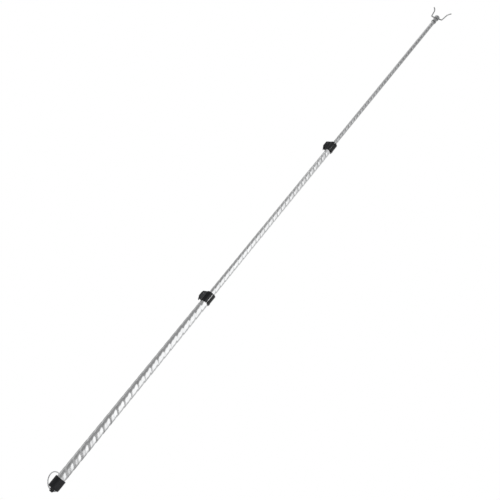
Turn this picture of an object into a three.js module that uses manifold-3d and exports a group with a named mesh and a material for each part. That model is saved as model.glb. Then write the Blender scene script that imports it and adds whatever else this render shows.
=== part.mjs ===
// Telescoping fork pole: three nested steel tubes, two clamp collars with cam levers,
// a butt cap with a hanging ring, and a bent wire fork on a screwed head.
// Millimetres. +Z runs up the pole from the butt to the fork, the origin is the flat end of
// the butt cap's lug, and the lower cam lever is on -X.
import * as THREE from "three";
import { mergeVertices } from "three/addons/utils/BufferGeometryUtils.js";
import Module from "manifold-3d";

const wasm = await Module();
wasm.setup();

// ---- driving dimensions -------------------------------------------------------------------
// tubes
const LOWER_OD = 25.4;
const MIDDLE_OD = 19.1;
const UPPER_OD = 12.7;
const LOWER_WALL = 0.6;
const MIDDLE_WALL = 0.5;
const UPPER_WALL = 0.5;
// bare tube seen between one fitting and the next, pulled right out
const LOWER_BARE = 593;
const MIDDLE_BARE = 606;
const UPPER_BARE = 640;
// butt cap, its lug and the hanging ring
const CAP_WALL = 2.6;
const CAP_LENGTH = 30.5;
const CAP_FLOOR = 3;
const CAP_ROUNDING = 0.256;
const LUG_DROP = 8.5;
const LUG_WIDTH = 14;
const LUG_THICK = 6;
const LUG_CORNER = 3.9;
const LUG_HOLE_UP = 3.5;
const RING_PLAY = 0.7;
const RING_TO_CAP = 1.54;
const RING_WIRE = 2.9;
const RING_HINGE_DEG = 37.6;
const RING_FOLD_DEG = 31;
const RING_GAP = 0.8;
// clamp collars
const CLAMP_LENGTH = 34;
const LOWER_COLLAR_WALL = 1.35;
const UPPER_COLLAR_WALL = 2.55;
const UPPER_COLLAR_TURN_DEG = -16;
const LOWER_SLIT = 2;
const UPPER_SLIT = 0.4;
const SLIT_DEG = -72;
const COLLAR_LIP = 2.4;
const COLLAR_CHAMFER = 1.6;
const CAM_OFF_COLLAR = 1;
const LEVER_WIDTH = 9;
const LEVER_OPEN_DEG = 95;
const LEVER_BACK = 2.2;
const LEVER_TAIL_OUT = 3.4;
const LEVER_TAIL_DROP = 3.5;
const PIN_RISE = 18.5;
const EAR_THICK = 2.4;
const EAR_SHY = 1;
const EAR_FOOT = 1.5;
const EAR_FOOT_OUT = 4;
const EAR_CHIN = 10;
const EAR_BROW = 23;
const EAR_TOP_DROP = 2.5;
const LEVER_PIN_D = 2.6;
const RIVET_BRIM = 1.1;
const RIVET_HEIGHT = 0.9;
const CAM_R = 4.2;
const CAM_LIFT = 0.8;
const SHOE_WIDTH = 8;
const SHOE_HEIGHT = 9;
const SCREW_D = 2.2;
const SCREW_HEAD_D = 5;
const SCREW_HEAD_HEIGHT = 1.5;
const SCREW_SEAT = 1;
const SCREW_TIP_GAP = 1.2;
// bushes
const GUIDE_DROP = 8;
const LOWER_TAIL_BUSH = 30;
const UPPER_TAIL_BUSH = 26;
const BUSH_SPLIT = 1.3;
const TAIL_BEAD = 0.55;
const TAIL_BEAD_WIDE = 2.4;
const TAIL_BEAD_DOWN = 6;
const TAIL_LIP = 2.6;
const TAIL_FLARE = 1.1;
// fork
const SOCKET_WALL = 0.65;
const SOCKET_LENGTH = 16;
const SOCKET_TOP_WALL = 2.6;
const BAND_WALL = 0.7;
const BAND_LENGTH = 4.2;
const BAND_UP = 0.4;
const STUD_D = 7;
const STUD_LENGTH = 3.6;
const HEAD_ACROSS = 18.4;
const HEAD_LENGTH = 12.4;
const HEAD_FLOOR = 0.6;
const FORK_WIRE = 4.2;
const FORK_SPAN = 41;
const FORK_RISE = 44.5;
const FORK_FLARE = 13.5;
const FORK_BEND_R = 5;
const FORK_TURN_DEG = -23.5;
// clearances
const FIT = 0.3;
const SLIDE_FIT = 0.3;
const STOP_GAP = 0.5;
// facets round a circle
const ROUND = 40;
const WIRE_SIDES = 12;

// ---- sizes that follow --------------------------------------------------------------------
const RAD = Math.PI / 180;
const CAP_OD = LOWER_OD + 2 * (FIT + CAP_WALL);
const LOWER_COLLAR_OD = LOWER_OD + 2 * (FIT + LOWER_COLLAR_WALL);
const UPPER_COLLAR_OD = MIDDLE_OD + 2 * (FIT + UPPER_COLLAR_WALL);
const SOCKET_OD = UPPER_OD + 2 * (FIT + SOCKET_WALL);
const BAND_OD = SOCKET_OD + 2 * (FIT + BAND_WALL);
const CAP_EDGE_R = (CAP_OD / 2) * CAP_ROUNDING;
const RING_MEAN_R = (CAP_OD / 2) * RING_TO_CAP;
const LEVER_STANDOFF = CAM_OFF_COLLAR + 2 * CAM_R + LEVER_BACK;
const EAR_WIDTH = LEVER_WIDTH + 2 * (FIT + EAR_THICK);
const CAP_BOTTOM = LUG_DROP;
const CAP_TOP = CAP_BOTTOM + CAP_LENGTH;
const LOWER_CLAMP_Z = CAP_TOP + LOWER_BARE;
const UPPER_CLAMP_Z = LOWER_CLAMP_Z + CLAMP_LENGTH + MIDDLE_BARE;
const FORK_Z = UPPER_CLAMP_Z + CLAMP_LENGTH + UPPER_BARE;

const NYLON = { color: 0x1b1d20, roughness: 0.5, metalness: 0 };
const STAINLESS = { color: 0xc4c6c8, roughness: 0.28, metalness: 1 };
const FORK_STEEL = { color: 0x9a9b9d, roughness: 0.4, metalness: 1 };
const RING_STEEL = { color: 0xa8aaac, roughness: 0.3, metalness: 1 };
const PIN_STEEL = { color: 0x606164, roughness: 0.4, metalness: 1 };

const pole = new THREE.Group();

function place(name, geometry, look) {
  const mesh = new THREE.Mesh(geometry, new THREE.MeshStandardMaterial(look));
  mesh.name = name;
  pole.add(mesh);
}

// ---- solids -------------------------------------------------------------------------------
function toSolid(geometry) {
  const bare = geometry.index ? geometry.clone() : geometry;
  bare.deleteAttribute("normal");
  bare.deleteAttribute("uv");
  const welded = mergeVertices(bare, 1e-4);
  return new wasm.Manifold(new wasm.Mesh({
    numProp: 3,
    vertProperties: new Float32Array(welded.attributes.position.array),
    triVerts: new Uint32Array(welded.index.array),
  }));
}

function toGeometry(solid) {
  const mesh = solid.getMesh();
  const geometry = new THREE.BufferGeometry();
  geometry.setAttribute("position", new THREE.BufferAttribute(mesh.vertProperties, 3));
  geometry.setIndex(new THREE.BufferAttribute(mesh.triVerts, 1));
  return geometry;
}

// A body turned about +Z from [radius, height] points. It closes on itself where no end is on
// the axis. The points go round so that the outside comes out facing out.
function turned(points, sides = ROUND) {
  const onAxis = points[0][0] === 0;
  const ring = onAxis ? points : [...points, points[0]];
  const lathe = new THREE.LatheGeometry(ring.map(([r, z]) => new THREE.Vector2(r, z)), sides);
  return lathe.rotateX(Math.PI / 2);
}

// A plain tube from bottom to top.
function sleeve(innerR, outerR, bottom, top, sides = ROUND) {
  return turned([[innerR, bottom], [outerR, bottom], [outerR, top], [innerR, top]], sides);
}

// A plain rod along +Z.
function rod(radius, bottom, top, sides = 24) {
  return turned([[0, bottom], [radius, bottom], [radius, top], [0, top]], sides);
}

function box(xRange, yRange, zRange) {
  const [x0, x1] = xRange;
  const [y0, y1] = yRange;
  const [z0, z1] = zRange;
  const geometry = new THREE.BoxGeometry(x1 - x0, y1 - y0, z1 - z0);
  return geometry.translate((x0 + x1) / 2, (y0 + y1) / 2, (z0 + z1) / 2);
}

// A flat outline in X and Z, spread evenly each side of Y = 0.
function plate(shape, width, curveSegments = 6) {
  const geometry = new THREE.ExtrudeGeometry(shape, { depth: width, bevelEnabled: false, curveSegments });
  return geometry.rotateX(Math.PI / 2).translate(0, width / 2, 0);
}

function outline(points) {
  return new THREE.Shape(points.map(([x, z]) => new THREE.Vector2(x, z)));
}

// A round wire along a curve.
function wire(curve, diameter, steps) {
  const section = new THREE.Shape();
  section.absarc(0, 0, diameter / 2, 0, 2 * Math.PI);
  const options = { extrudePath: curve, steps, curveSegments: WIRE_SIDES / 2, bevelEnabled: false };
  return new THREE.ExtrudeGeometry(section, options);
}

function join(first, ...rest) {
  return rest.reduce((solid, next) => solid.add(toSolid(next)), toSolid(first));
}

function cut(solid, ...tools) {
  return tools.reduce((left, tool) => left.subtract(toSolid(tool)), solid);
}

// ---- lower tube and butt cap --------------------------------------------------------------
function buildLowerTube() {
  const top = LOWER_CLAMP_Z + CLAMP_LENGTH - COLLAR_LIP - FIT;
  const tube = sleeve(LOWER_OD / 2 - LOWER_WALL, LOWER_OD / 2, CAP_BOTTOM + CAP_FLOOR + FIT, top);
  const slotted = cut(toSolid(tube), shoeWindow(LOWER_OD / 2, LOWER_CLAMP_Z), screwHole(LOWER_CLAMP_Z));
  place("lower_tube", toGeometry(slotted), STAINLESS);
}

// The cap is a deep cup with a rounded floor edge. Its lug hangs below the floor, turned to
// the ring's hinge line, and its flat end is the lowest face of the pole.
function buildButtCap() {
  const outerR = CAP_OD / 2;
  const boreR = LOWER_OD / 2 + FIT;
  const arcSteps = 5;
  const profile = [[0, CAP_BOTTOM]];
  for (let i = 0; i <= arcSteps; i += 1) {
    const angle = (i / arcSteps) * (Math.PI / 2);
    profile.push([
      outerR - CAP_EDGE_R + CAP_EDGE_R * Math.sin(angle),
      CAP_BOTTOM + CAP_EDGE_R - CAP_EDGE_R * Math.cos(angle),
    ]);
  }
  profile.push([outerR, CAP_TOP - 0.8], [outerR - 0.8, CAP_TOP], [boreR, CAP_TOP]);
  profile.push([boreR, CAP_BOTTOM + CAP_FLOOR], [0, CAP_BOTTOM + CAP_FLOOR]);

  const half = LUG_WIDTH / 2;
  const sunk = CAP_BOTTOM + CAP_FLOOR / 2;
  const lugOutline = outline([[half, sunk], [-half, sunk], [-half, LUG_CORNER],
    [LUG_CORNER - half, 0], [half - LUG_CORNER, 0], [half, LUG_CORNER]]);
  const lug = plate(lugOutline, LUG_THICK);
  const hole = rod(RING_WIRE / 2 + RING_PLAY, -LUG_THICK, LUG_THICK).rotateX(Math.PI / 2);
  hole.translate(0, 0, LUG_HOLE_UP);
  // the plate's thickness runs along Y, so turn it until that is the ring's hinge line
  const turn = (RING_HINGE_DEG - 90) * RAD;
  const cap = join(turned(profile), lug.rotateZ(turn));
  place("butt_cap", toGeometry(cut(cap, hole.rotateZ(turn))), NYLON);
}

// The ring is one wire bent round until its ends nearly meet, hanging in the lug's hole and
// folded up beside the cap. Its ends are on the far side from the lug.
function buildHangRing() {
  const hinge = new THREE.Vector3(Math.cos(RING_HINGE_DEG * RAD), Math.sin(RING_HINGE_DEG * RAD), 0);
  const outward = new THREE.Vector3(-hinge.y, hinge.x, 0);
  const fold = new THREE.Vector3(0, 0, Math.cos(RING_FOLD_DEG * RAD));
  fold.addScaledVector(outward, Math.sin(RING_FOLD_DEG * RAD));
  const centre = new THREE.Vector3(0, 0, LUG_HOLE_UP).addScaledVector(fold, RING_MEAN_R);
  const halfGap = RING_GAP / 2 / RING_MEAN_R;
  class RingCurve extends THREE.Curve {
    getPoint(t) {
      const angle = halfGap + t * (2 * Math.PI - 2 * halfGap);
      return centre.clone()
        .addScaledVector(fold, RING_MEAN_R * Math.cos(angle))
        .addScaledVector(hinge, RING_MEAN_R * Math.sin(angle));
    }
  }
  place("hang_ring", wire(new RingCurve(), RING_WIRE, 40), RING_STEEL);
}

// ---- clamp collars ------------------------------------------------------------------------
// One clamp closes the mouth of an outer tube round the next tube in. The lever's pin, the
// shoe and the windows they need all follow from the collar's outer radius.
function pinX(collarOD) {
  return -(collarOD / 2 + CAM_OFF_COLLAR + CAM_R);
}

function pinZ(clampZ) {
  return clampZ + PIN_RISE;
}

function shoeWindow(reach, clampZ) {
  const halfY = SHOE_WIDTH / 2 + FIT;
  const halfZ = SHOE_HEIGHT / 2 + FIT;
  return box([-reach - 6, 0], [-halfY, halfY], [pinZ(clampZ) - halfZ, pinZ(clampZ) + halfZ]);
}

// The screw goes in from the back of the collar, opposite the lever.
function screwHole(clampZ) {
  const hole = rod(SCREW_D / 2 + FIT, 0, 30, 16);
  return hole.rotateY(Math.PI / 2).translate(0, 0, clampZ + SCREW_HEAD_D);
}

function buildCollar(name, spec) {
  const outerR = spec.collarOD / 2;
  const tubeR = spec.outerOD / 2 + FIT;
  const throatR = spec.innerOD / 2 + FIT;
  const top = spec.z + CLAMP_LENGTH;
  const shell = turned([
    [tubeR, spec.z], [outerR - 0.5, spec.z], [outerR, spec.z + 0.5], [outerR, top - COLLAR_CHAMFER],
    [outerR - COLLAR_CHAMFER, top], [throatR, top], [throatR, top - COLLAR_LIP], [tubeR, top - COLLAR_LIP],
  ]);
  const face = outerR + LEVER_STANDOFF - EAR_SHY;
  const root = -tubeR + 1;
  const ears = plate(outline([
    [root, spec.z + EAR_FOOT], [-outerR - EAR_FOOT_OUT, spec.z + EAR_FOOT], [-face, spec.z + EAR_CHIN],
    [-face, spec.z + EAR_BROW], [-face + 1.2, spec.z + EAR_BROW + 1.5],
    [-outerR + 1.2, top - EAR_TOP_DROP], [root, top - EAR_TOP_DROP],
  ]), EAR_WIDTH);
  const halfSlot = LEVER_WIDTH / 2 + FIT;
  const slot = box([-face - 5, -outerR - 0.4], [-halfSlot, halfSlot], [spec.z - 1, top + 1]);
  const bore = rod(tubeR, spec.z - 1, top - COLLAR_LIP, ROUND);
  const pinHole = rod(LEVER_PIN_D / 2 + FIT, -EAR_WIDTH, EAR_WIDTH, 16).rotateX(Math.PI / 2);
  pinHole.translate(pinX(spec.collarOD), 0, pinZ(spec.z));
  const slit = box([0, outerR + 2], [-spec.slit / 2, spec.slit / 2], [spec.z - 1, top + 1]);
  slit.rotateZ(SLIT_DEG * RAD);
  const screwSeat = rod(SCREW_HEAD_D / 2 + FIT, outerR - SCREW_SEAT, outerR + 3, 20);
  screwSeat.rotateY(Math.PI / 2).translate(0, 0, spec.z + SCREW_HEAD_D);
  const collar = cut(join(shell, ears), slot, bore, shoeWindow(outerR, spec.z), pinHole, slit,
    screwHole(spec.z), screwSeat);
  place(name, turnAbout(toGeometry(collar), spec), NYLON);
}

function turnAbout(geometry, spec) {
  return geometry.rotateZ(spec.turn * RAD);
}

// A slit sleeve in the outer tube's mouth, filling the space round the inner tube.
function buildGuideBush(name, spec) {
  const innerR = spec.innerOD / 2 + SLIDE_FIT;
  const outerR = spec.outerOD / 2 - spec.outerWall - FIT;
  const top = spec.z + CLAMP_LENGTH - COLLAR_LIP - FIT;
  const bush = sleeve(innerR, outerR, spec.z - GUIDE_DROP, top);
  const split = box([0, outerR + 2], [-BUSH_SPLIT / 2, BUSH_SPLIT / 2],
    [spec.z - GUIDE_DROP - 1, top + 1]);
  split.rotateZ((SLIT_DEG + 180) * RAD);
  const cleared = cut(toSolid(bush), shoeWindow(outerR, spec.z), screwHole(spec.z), split);
  place(name, turnAbout(toGeometry(cleared), spec), NYLON);
}

// The lever's head is a cam: its radius falls by the lift over the angle that the lever opens,
// so the shoe backs off the tube. Its arm hangs down outside the collar, past its lower edge.
function buildLever(name, spec) {
  const px = pinX(spec.collarOD);
  const pz = pinZ(spec.z);
  const face = spec.collarOD / 2 + LEVER_STANDOFF;
  const tailX = spec.collarOD / 2 + LEVER_TAIL_OUT;
  const shape = new THREE.Shape();
  const steps = 10;
  const sweep = (LEVER_OPEN_DEG + 15) * RAD;
  // cam arc: straight in at the shoe when shut, running up over the top of the pin
  for (let i = 0; i <= steps; i += 1) {
    const angle = (i / steps) * sweep;
    const radius = CAM_R - CAM_LIFT * Math.min(1, angle / (LEVER_OPEN_DEG * RAD));
    const x = px + radius * Math.cos(angle);
    const z = pz + radius * Math.sin(angle);
    if (i === 0) shape.moveTo(x, z);
    else shape.lineTo(x, z);
  }
  // a low shoulder, so that it swings clear of the shoe when the lever is open
  shape.lineTo(-face + 1.5, pz + CAM_R - 1);
  shape.lineTo(-face, pz + CAM_R / 2 - 0.3);
  shape.lineTo(-face, spec.z + 8.5);
  shape.quadraticCurveTo(-face + 2.4, spec.z + 3, -tailX - 3, spec.z - 2.5);
  shape.lineTo(-tailX - 1.4, spec.z - LEVER_TAIL_DROP);
  shape.lineTo(-tailX, spec.z - 2.9);
  shape.quadraticCurveTo(-tailX - 1.2, spec.z + 4, -tailX - 2, pz - 6);
  shape.lineTo(px + 0.6, pz - CAM_R + 0.2);
  shape.lineTo(px + CAM_R * 0.8, pz - CAM_R * 0.6);
  const pinHole = rod(LEVER_PIN_D / 2 + FIT, -LEVER_WIDTH, LEVER_WIDTH, 16).rotateX(Math.PI / 2);
  pinHole.translate(px, 0, pz);
  const lever = cut(toSolid(plate(shape, LEVER_WIDTH)), pinHole);
  place(name, turnAbout(toGeometry(lever), spec), NYLON);
}

// A plain pin with a rivet head on each end.
function buildLeverPin(name, spec) {
  const shankR = LEVER_PIN_D / 2;
  const headR = shankR + RIVET_BRIM;
  const inner = EAR_WIDTH / 2 + FIT;
  const end = inner + RIVET_HEIGHT;
  const pin = turned([
    [0, -end], [headR - 0.5, -end], [headR, -end + 0.5], [headR, -inner], [shankR, -inner],
    [shankR, inner], [headR, inner], [headR, end - 0.5], [headR - 0.5, end], [0, end],
  ], 16);
  pin.rotateX(Math.PI / 2).translate(pinX(spec.collarOD), 0, pinZ(spec.z));
  place(name, turnAbout(pin, spec), PIN_STEEL);
}

// The shoe slides in the window. Its inner face is hollowed to the inner tube's radius.
function buildShoe(name, spec) {
  const outer = -pinX(spec.collarOD) - CAM_R - FIT;
  const half = SHOE_WIDTH / 2;
  const pz = pinZ(spec.z);
  const halfHigh = SHOE_HEIGHT / 2;
  const block = box([-outer, 3 - spec.innerOD / 2], [-half, half], [pz - halfHigh, pz + halfHigh]);
  const hollow = rod(spec.innerOD / 2 + FIT, pz - SHOE_HEIGHT, pz + SHOE_HEIGHT, ROUND);
  place(name, turnAbout(toGeometry(cut(toSolid(block), hollow)), spec), NYLON);
}

// A pan-head screw through the collar into the tube and the bush behind it.
function buildCollarScrew(name, spec) {
  const seat = spec.collarOD / 2 - SCREW_SEAT + FIT;
  const crown = seat + SCREW_HEAD_HEIGHT;
  const tip = spec.innerOD / 2 + SCREW_TIP_GAP;
  const headR = SCREW_HEAD_D / 2;
  const screw = turned([
    [0, tip], [SCREW_D / 2, tip + 0.4], [SCREW_D / 2, seat], [headR, seat], [headR, crown - 0.6],
    [headR * 0.72, crown], [0, crown],
  ], 20);
  const recess = box([-1.6, 1.6], [-0.35, 0.35], [crown - 0.6, crown + 1]);
  const crossed = cut(toSolid(screw), recess, recess.clone().rotateZ(Math.PI / 2));
  const laid = toGeometry(crossed).rotateY(Math.PI / 2).translate(0, 0, spec.z + SCREW_HEAD_D);
  place(name, turnAbout(laid, spec), PIN_STEEL);
}

function buildClamp(prefix, spec) {
  buildCollar(`${prefix}_collar`, spec);
  buildGuideBush(`${prefix}_guide_bush`, spec);
  buildLever(`${prefix}_lever`, spec);
  buildLeverPin(`${prefix}_lever_pin`, spec);
  buildShoe(`${prefix}_brake_shoe`, spec);
  buildCollarScrew(`${prefix}_collar_screw`, spec);
}

// ---- inner tubes and their tail bushes ----------------------------------------------------
// The tail of an inner tube has a rolled bead and a flared lip with a bush held between them.
// The bush meets the guide bush above it when the section is pulled right out.
function tailHeights(clampZ, bushLength) {
  const bushTop = clampZ - GUIDE_DROP - STOP_GAP;
  const bushBottom = bushTop - bushLength;
  return { bushTop, bushBottom, tubeEnd: bushBottom - FIT - TAIL_LIP };
}

function tailedTube(od, wall, tail, top) {
  const r = od / 2;
  const beadLow = tail.bushTop - TAIL_BEAD_DOWN;
  const lipR = r + TAIL_FLARE;
  return turned([
    [r - wall, tail.tubeEnd + 1], [lipR - wall, tail.tubeEnd], [lipR, tail.tubeEnd],
    [r, tail.tubeEnd + TAIL_LIP],
    [r, beadLow], [r + TAIL_BEAD, beadLow + TAIL_BEAD_WIDE / 3],
    [r + TAIL_BEAD, beadLow + (2 * TAIL_BEAD_WIDE) / 3], [r, beadLow + TAIL_BEAD_WIDE],
    [r, top], [r - wall, top],
  ]);
}

function buildTailBush(name, boreOD, outerOD, outerWall, tail) {
  const innerR = boreOD / 2 + FIT;
  const outerR = outerOD / 2 - outerWall - SLIDE_FIT;
  const beadMid = tail.bushTop - TAIL_BEAD_DOWN + TAIL_BEAD_WIDE / 2;
  const grooveR = innerR + TAIL_BEAD + 0.1;
  const grooveHalf = TAIL_BEAD_WIDE / 2;
  const bush = turned([
    [innerR, tail.bushBottom], [outerR - 0.4, tail.bushBottom], [outerR, tail.bushBottom + 0.4],
    [outerR, tail.bushTop - 0.4], [outerR - 0.4, tail.bushTop], [innerR, tail.bushTop],
    [innerR, beadMid + grooveHalf + 0.8], [grooveR, beadMid + grooveHalf],
    [grooveR, beadMid - grooveHalf], [innerR, beadMid - grooveHalf - 0.8],
  ]);
  const split = box([0, outerR + 2], [-BUSH_SPLIT / 2, BUSH_SPLIT / 2],
    [tail.bushBottom - 1, tail.bushTop + 1]);
  place(name, toGeometry(cut(toSolid(bush), split)), NYLON);
}

function buildMiddleTube() {
  const tail = tailHeights(LOWER_CLAMP_Z, LOWER_TAIL_BUSH);
  const top = UPPER_CLAMP_Z + CLAMP_LENGTH - COLLAR_LIP - FIT;
  const turn = UPPER_COLLAR_TURN_DEG * RAD;
  const window = shoeWindow(MIDDLE_OD / 2, UPPER_CLAMP_Z).rotateZ(turn);
  const hole = screwHole(UPPER_CLAMP_Z).rotateZ(turn);
  const tube = cut(toSolid(tailedTube(MIDDLE_OD, MIDDLE_WALL, tail, top)), window, hole);
  place("middle_tube", toGeometry(tube), STAINLESS);
  buildTailBush("middle_tail_bush", MIDDLE_OD, LOWER_OD, LOWER_WALL, tail);
}

function buildUpperTube() {
  const tail = tailHeights(UPPER_CLAMP_Z, UPPER_TAIL_BUSH);
  const top = FORK_Z + SOCKET_LENGTH - SOCKET_TOP_WALL - FIT;
  place("upper_tube", tailedTube(UPPER_OD, UPPER_WALL, tail, top), STAINLESS);
  buildTailBush("upper_tail_bush", UPPER_OD, MIDDLE_OD, MIDDLE_WALL, tail);
}

// ---- fork ---------------------------------------------------------------------------------
// A cup pressed over the tube's end carries a stud, the head screws onto the stud, and one bent
// wire lies in the head's cross hole under a clamping screw.
function buildForkSocket() {
  const boreR = UPPER_OD / 2 + FIT;
  const outerR = SOCKET_OD / 2;
  const shoulder = FORK_Z + SOCKET_LENGTH;
  const socket = turned([
    [0, shoulder - SOCKET_TOP_WALL], [boreR, shoulder - SOCKET_TOP_WALL], [boreR, FORK_Z],
    [outerR, FORK_Z], [outerR, shoulder - 0.6], [outerR - 0.6, shoulder], [STUD_D / 2, shoulder],
    [STUD_D / 2, shoulder + STUD_LENGTH - 0.4], [STUD_D / 2 - 0.4, shoulder + STUD_LENGTH],
    [0, shoulder + STUD_LENGTH],
  ]);
  place("fork_socket", socket, FORK_STEEL);
  const bandInner = outerR + FIT;
  const bandOuter = BAND_OD / 2;
  const bandZ = FORK_Z + BAND_UP;
  const band = turned([
    [bandInner, bandZ], [bandOuter - 0.6, bandZ], [bandOuter, bandZ + 0.6],
    [bandOuter, bandZ + BAND_LENGTH - 0.6], [bandOuter - 0.6, bandZ + BAND_LENGTH],
    [bandInner, bandZ + BAND_LENGTH],
  ]);
  place("socket_band", band, FORK_STEEL);
}

function forkBarZ() {
  const headBottom = FORK_Z + SOCKET_LENGTH + FIT;
  return headBottom + STUD_LENGTH + FIT + HEAD_FLOOR + FORK_WIRE / 2;
}

function buildForkHead() {
  const bottom = FORK_Z + SOCKET_LENGTH + FIT;
  const top = bottom + HEAD_LENGTH;
  const r = HEAD_ACROSS / 2;
  const body = turned([
    [0, bottom], [r - 0.8, bottom], [r, bottom + 0.8], [r, top - 2.2], [r - 0.9, top - 0.8],
    [r - 2.6, top], [0, top],
  ]);
  const studBore = rod(STUD_D / 2 + FIT, bottom - 1, bottom + STUD_LENGTH + FIT);
  const wireHole = rod(FORK_WIRE / 2 + FIT, -r - 2, r + 2, 20).rotateY(Math.PI / 2);
  wireHole.translate(0, 0, forkBarZ());
  const screwBore = rod(SCREW_D / 2 + FIT, forkBarZ(), top + 1, 16);
  const head = cut(toSolid(body), studBore, wireHole.rotateZ(FORK_TURN_DEG * RAD), screwBore);
  place("fork_head", toGeometry(head), FORK_STEEL);

  const low = forkBarZ() + FORK_WIRE / 2 + FIT;
  const screw = turned([[0, low], [SCREW_D / 2, low], [SCREW_D / 2, top - 0.4], [0, top - 0.4]], 16);
  const slot = box([-2, 2], [-0.3, 0.3], [top - 1.2, top]);
  place("head_screw", toGeometry(cut(toSolid(screw), slot)), PIN_STEEL);
}

// The fork's bar is straight through the head, each arm turns up out of it and its tip leans
// outward.
function buildForkWire() {
  const z = forkBarZ();
  const reach = FORK_SPAN / 2;
  const arm = (side) => [
    new THREE.Vector3(side * reach, 0, z + FORK_BEND_R),
    new THREE.Vector3(side * (reach + FORK_FLARE * 0.12), 0, z + FORK_RISE * 0.36),
    new THREE.Vector3(side * (reach + FORK_FLARE * 0.24), 0, z + FORK_RISE * 0.62),
    new THREE.Vector3(side * (reach + FORK_FLARE * 0.55), 0, z + FORK_RISE * 0.84),
    new THREE.Vector3(side * (reach + FORK_FLARE), 0, z + FORK_RISE),
  ];
  const path = new THREE.CurvePath();
  const armCurve = (side) => new THREE.CatmullRomCurve3(side < 0 ? arm(side).reverse() : arm(side));
  const bend = (side) => {
    const outer = new THREE.Vector3(side * reach, 0, z + FORK_BEND_R);
    const corner = new THREE.Vector3(side * reach, 0, z);
    const inner = new THREE.Vector3(side * (reach - FORK_BEND_R), 0, z);
    return side < 0 ? new THREE.QuadraticBezierCurve3(outer, corner, inner)
      : new THREE.QuadraticBezierCurve3(inner, corner, outer);
  };
  path.add(armCurve(-1));
  path.add(bend(-1));
  path.add(new THREE.LineCurve3(bend(-1).getPoint(1), bend(1).getPoint(0)));
  path.add(bend(1));
  path.add(armCurve(1));
  const geometry = wire(path, FORK_WIRE, 48).rotateZ(FORK_TURN_DEG * RAD);
  place("fork_wire", geometry, FORK_STEEL);
}

// ---- assembly -----------------------------------------------------------------------------
buildLowerTube();
buildButtCap();
buildHangRing();
buildClamp("lower", {
  z: LOWER_CLAMP_Z, collarOD: LOWER_COLLAR_OD, slit: LOWER_SLIT, turn: 0,
  outerOD: LOWER_OD, outerWall: LOWER_WALL, innerOD: MIDDLE_OD,
});
buildMiddleTube();
buildClamp("upper", {
  z: UPPER_CLAMP_Z, collarOD: UPPER_COLLAR_OD, slit: UPPER_SLIT, turn: UPPER_COLLAR_TURN_DEG,
  outerOD: MIDDLE_OD, outerWall: MIDDLE_WALL, innerOD: UPPER_OD,
});
buildUpperTube();
buildForkSocket();
buildForkHead();
buildForkWire();

export default pole;
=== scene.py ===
import math

import bmesh
import bpy
import numpy as np
from mathutils import Matrix, Vector


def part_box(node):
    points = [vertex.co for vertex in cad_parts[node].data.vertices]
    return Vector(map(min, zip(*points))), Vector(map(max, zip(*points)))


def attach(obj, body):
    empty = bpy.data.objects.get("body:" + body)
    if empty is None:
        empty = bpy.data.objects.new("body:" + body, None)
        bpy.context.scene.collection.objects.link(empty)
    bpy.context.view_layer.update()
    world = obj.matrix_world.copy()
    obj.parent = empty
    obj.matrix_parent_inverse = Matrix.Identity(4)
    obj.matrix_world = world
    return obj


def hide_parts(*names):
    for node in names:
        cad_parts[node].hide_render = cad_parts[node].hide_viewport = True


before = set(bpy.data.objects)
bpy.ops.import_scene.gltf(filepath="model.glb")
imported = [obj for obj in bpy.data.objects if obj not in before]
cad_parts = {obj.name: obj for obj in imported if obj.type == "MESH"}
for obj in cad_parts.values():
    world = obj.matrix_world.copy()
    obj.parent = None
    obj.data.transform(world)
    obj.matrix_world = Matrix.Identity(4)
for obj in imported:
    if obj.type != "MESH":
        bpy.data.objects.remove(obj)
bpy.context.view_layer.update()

MM = 0.001

# ---- sizes, in millimetres --------------------------------------------------------------------
FIT = 0.3               # the gap left wherever two pieces meet

# The tubes. The rolled pattern is a swell once a pitch, "wave" high, one twice a pitch,
# "half_wave" high, and a narrow groove, "groove" deep and "spread" wide each way. "columns" and
# "step" say how fine the mesh is, round the tube and along it.
LOWER = {"od": 25.4, "wall": 0.6, "pitch": 28.0, "wave": 0.40, "half_wave": 0.20,
         "groove": 0.10, "spread": 1.9, "columns": 112, "step": 1.1}
MIDDLE = {"od": 19.1, "wall": 0.5, "pitch": 22.0, "wave": 0.30, "half_wave": 0.15,
          "groove": 0.12, "spread": 1.4, "columns": 96, "step": 1.0}
UPPER = {"od": 12.7, "wall": 0.5, "pitch": 17.4, "wave": 0.26, "half_wave": 0.08,
         "groove": 0.16, "spread": 1.3, "columns": 72, "step": 0.9}
GROOVE_STARTS = 2
PROUD = 0.2             # the pattern's crests stand this far out of the plain tube
BORE_IN = 0.26          # the rolled wall stands in this far, just clear of the bush that slides in it
THIN_WALL = 0.15
BORE_ROW_EVERY = 8
TAIL_FINE = 40.0        # the bore's mesh is fine this far up from an inner tube's tail
TAIL_FLARE = 1.1
TAIL_FLARE_LENGTH = 2.6
TAIL_BEAD = 0.55
TAIL_BEAD_WIDTH = 0.9
TAIL_BEAD_DOWN = 4.8    # from the top of the tail bush to the middle of the bead under it

# the butt cap, its lug and the ring
CAP_WALL = 2.6
CAP_OD = LOWER["od"] + 2 * (FIT + CAP_WALL)
CAP_FLOOR = 3.0
CAP_EDGE_EXTRA = 0.7    # a corner curve needs more reach than the arc that it stands for
CAP_EDGE_REACH = CAP_OD / 2 * 0.256 + CAP_EDGE_EXTRA
LUG_DROP = 8.5
LUG_WIDTH = 14.0
LUG_CORNER = LUG_WIDTH * 0.28
LUG_THICK = 6.0
LUG_HOLE_UP = 3.5
RING_PLAY = 0.7
RING_MEAN_R = CAP_OD / 2 * 1.54
RING_WIRE = 2.9
RING_HINGE_DEG = 37.6
RING_FOLD_DEG = 31.0
RING_GAP = 0.8

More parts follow.
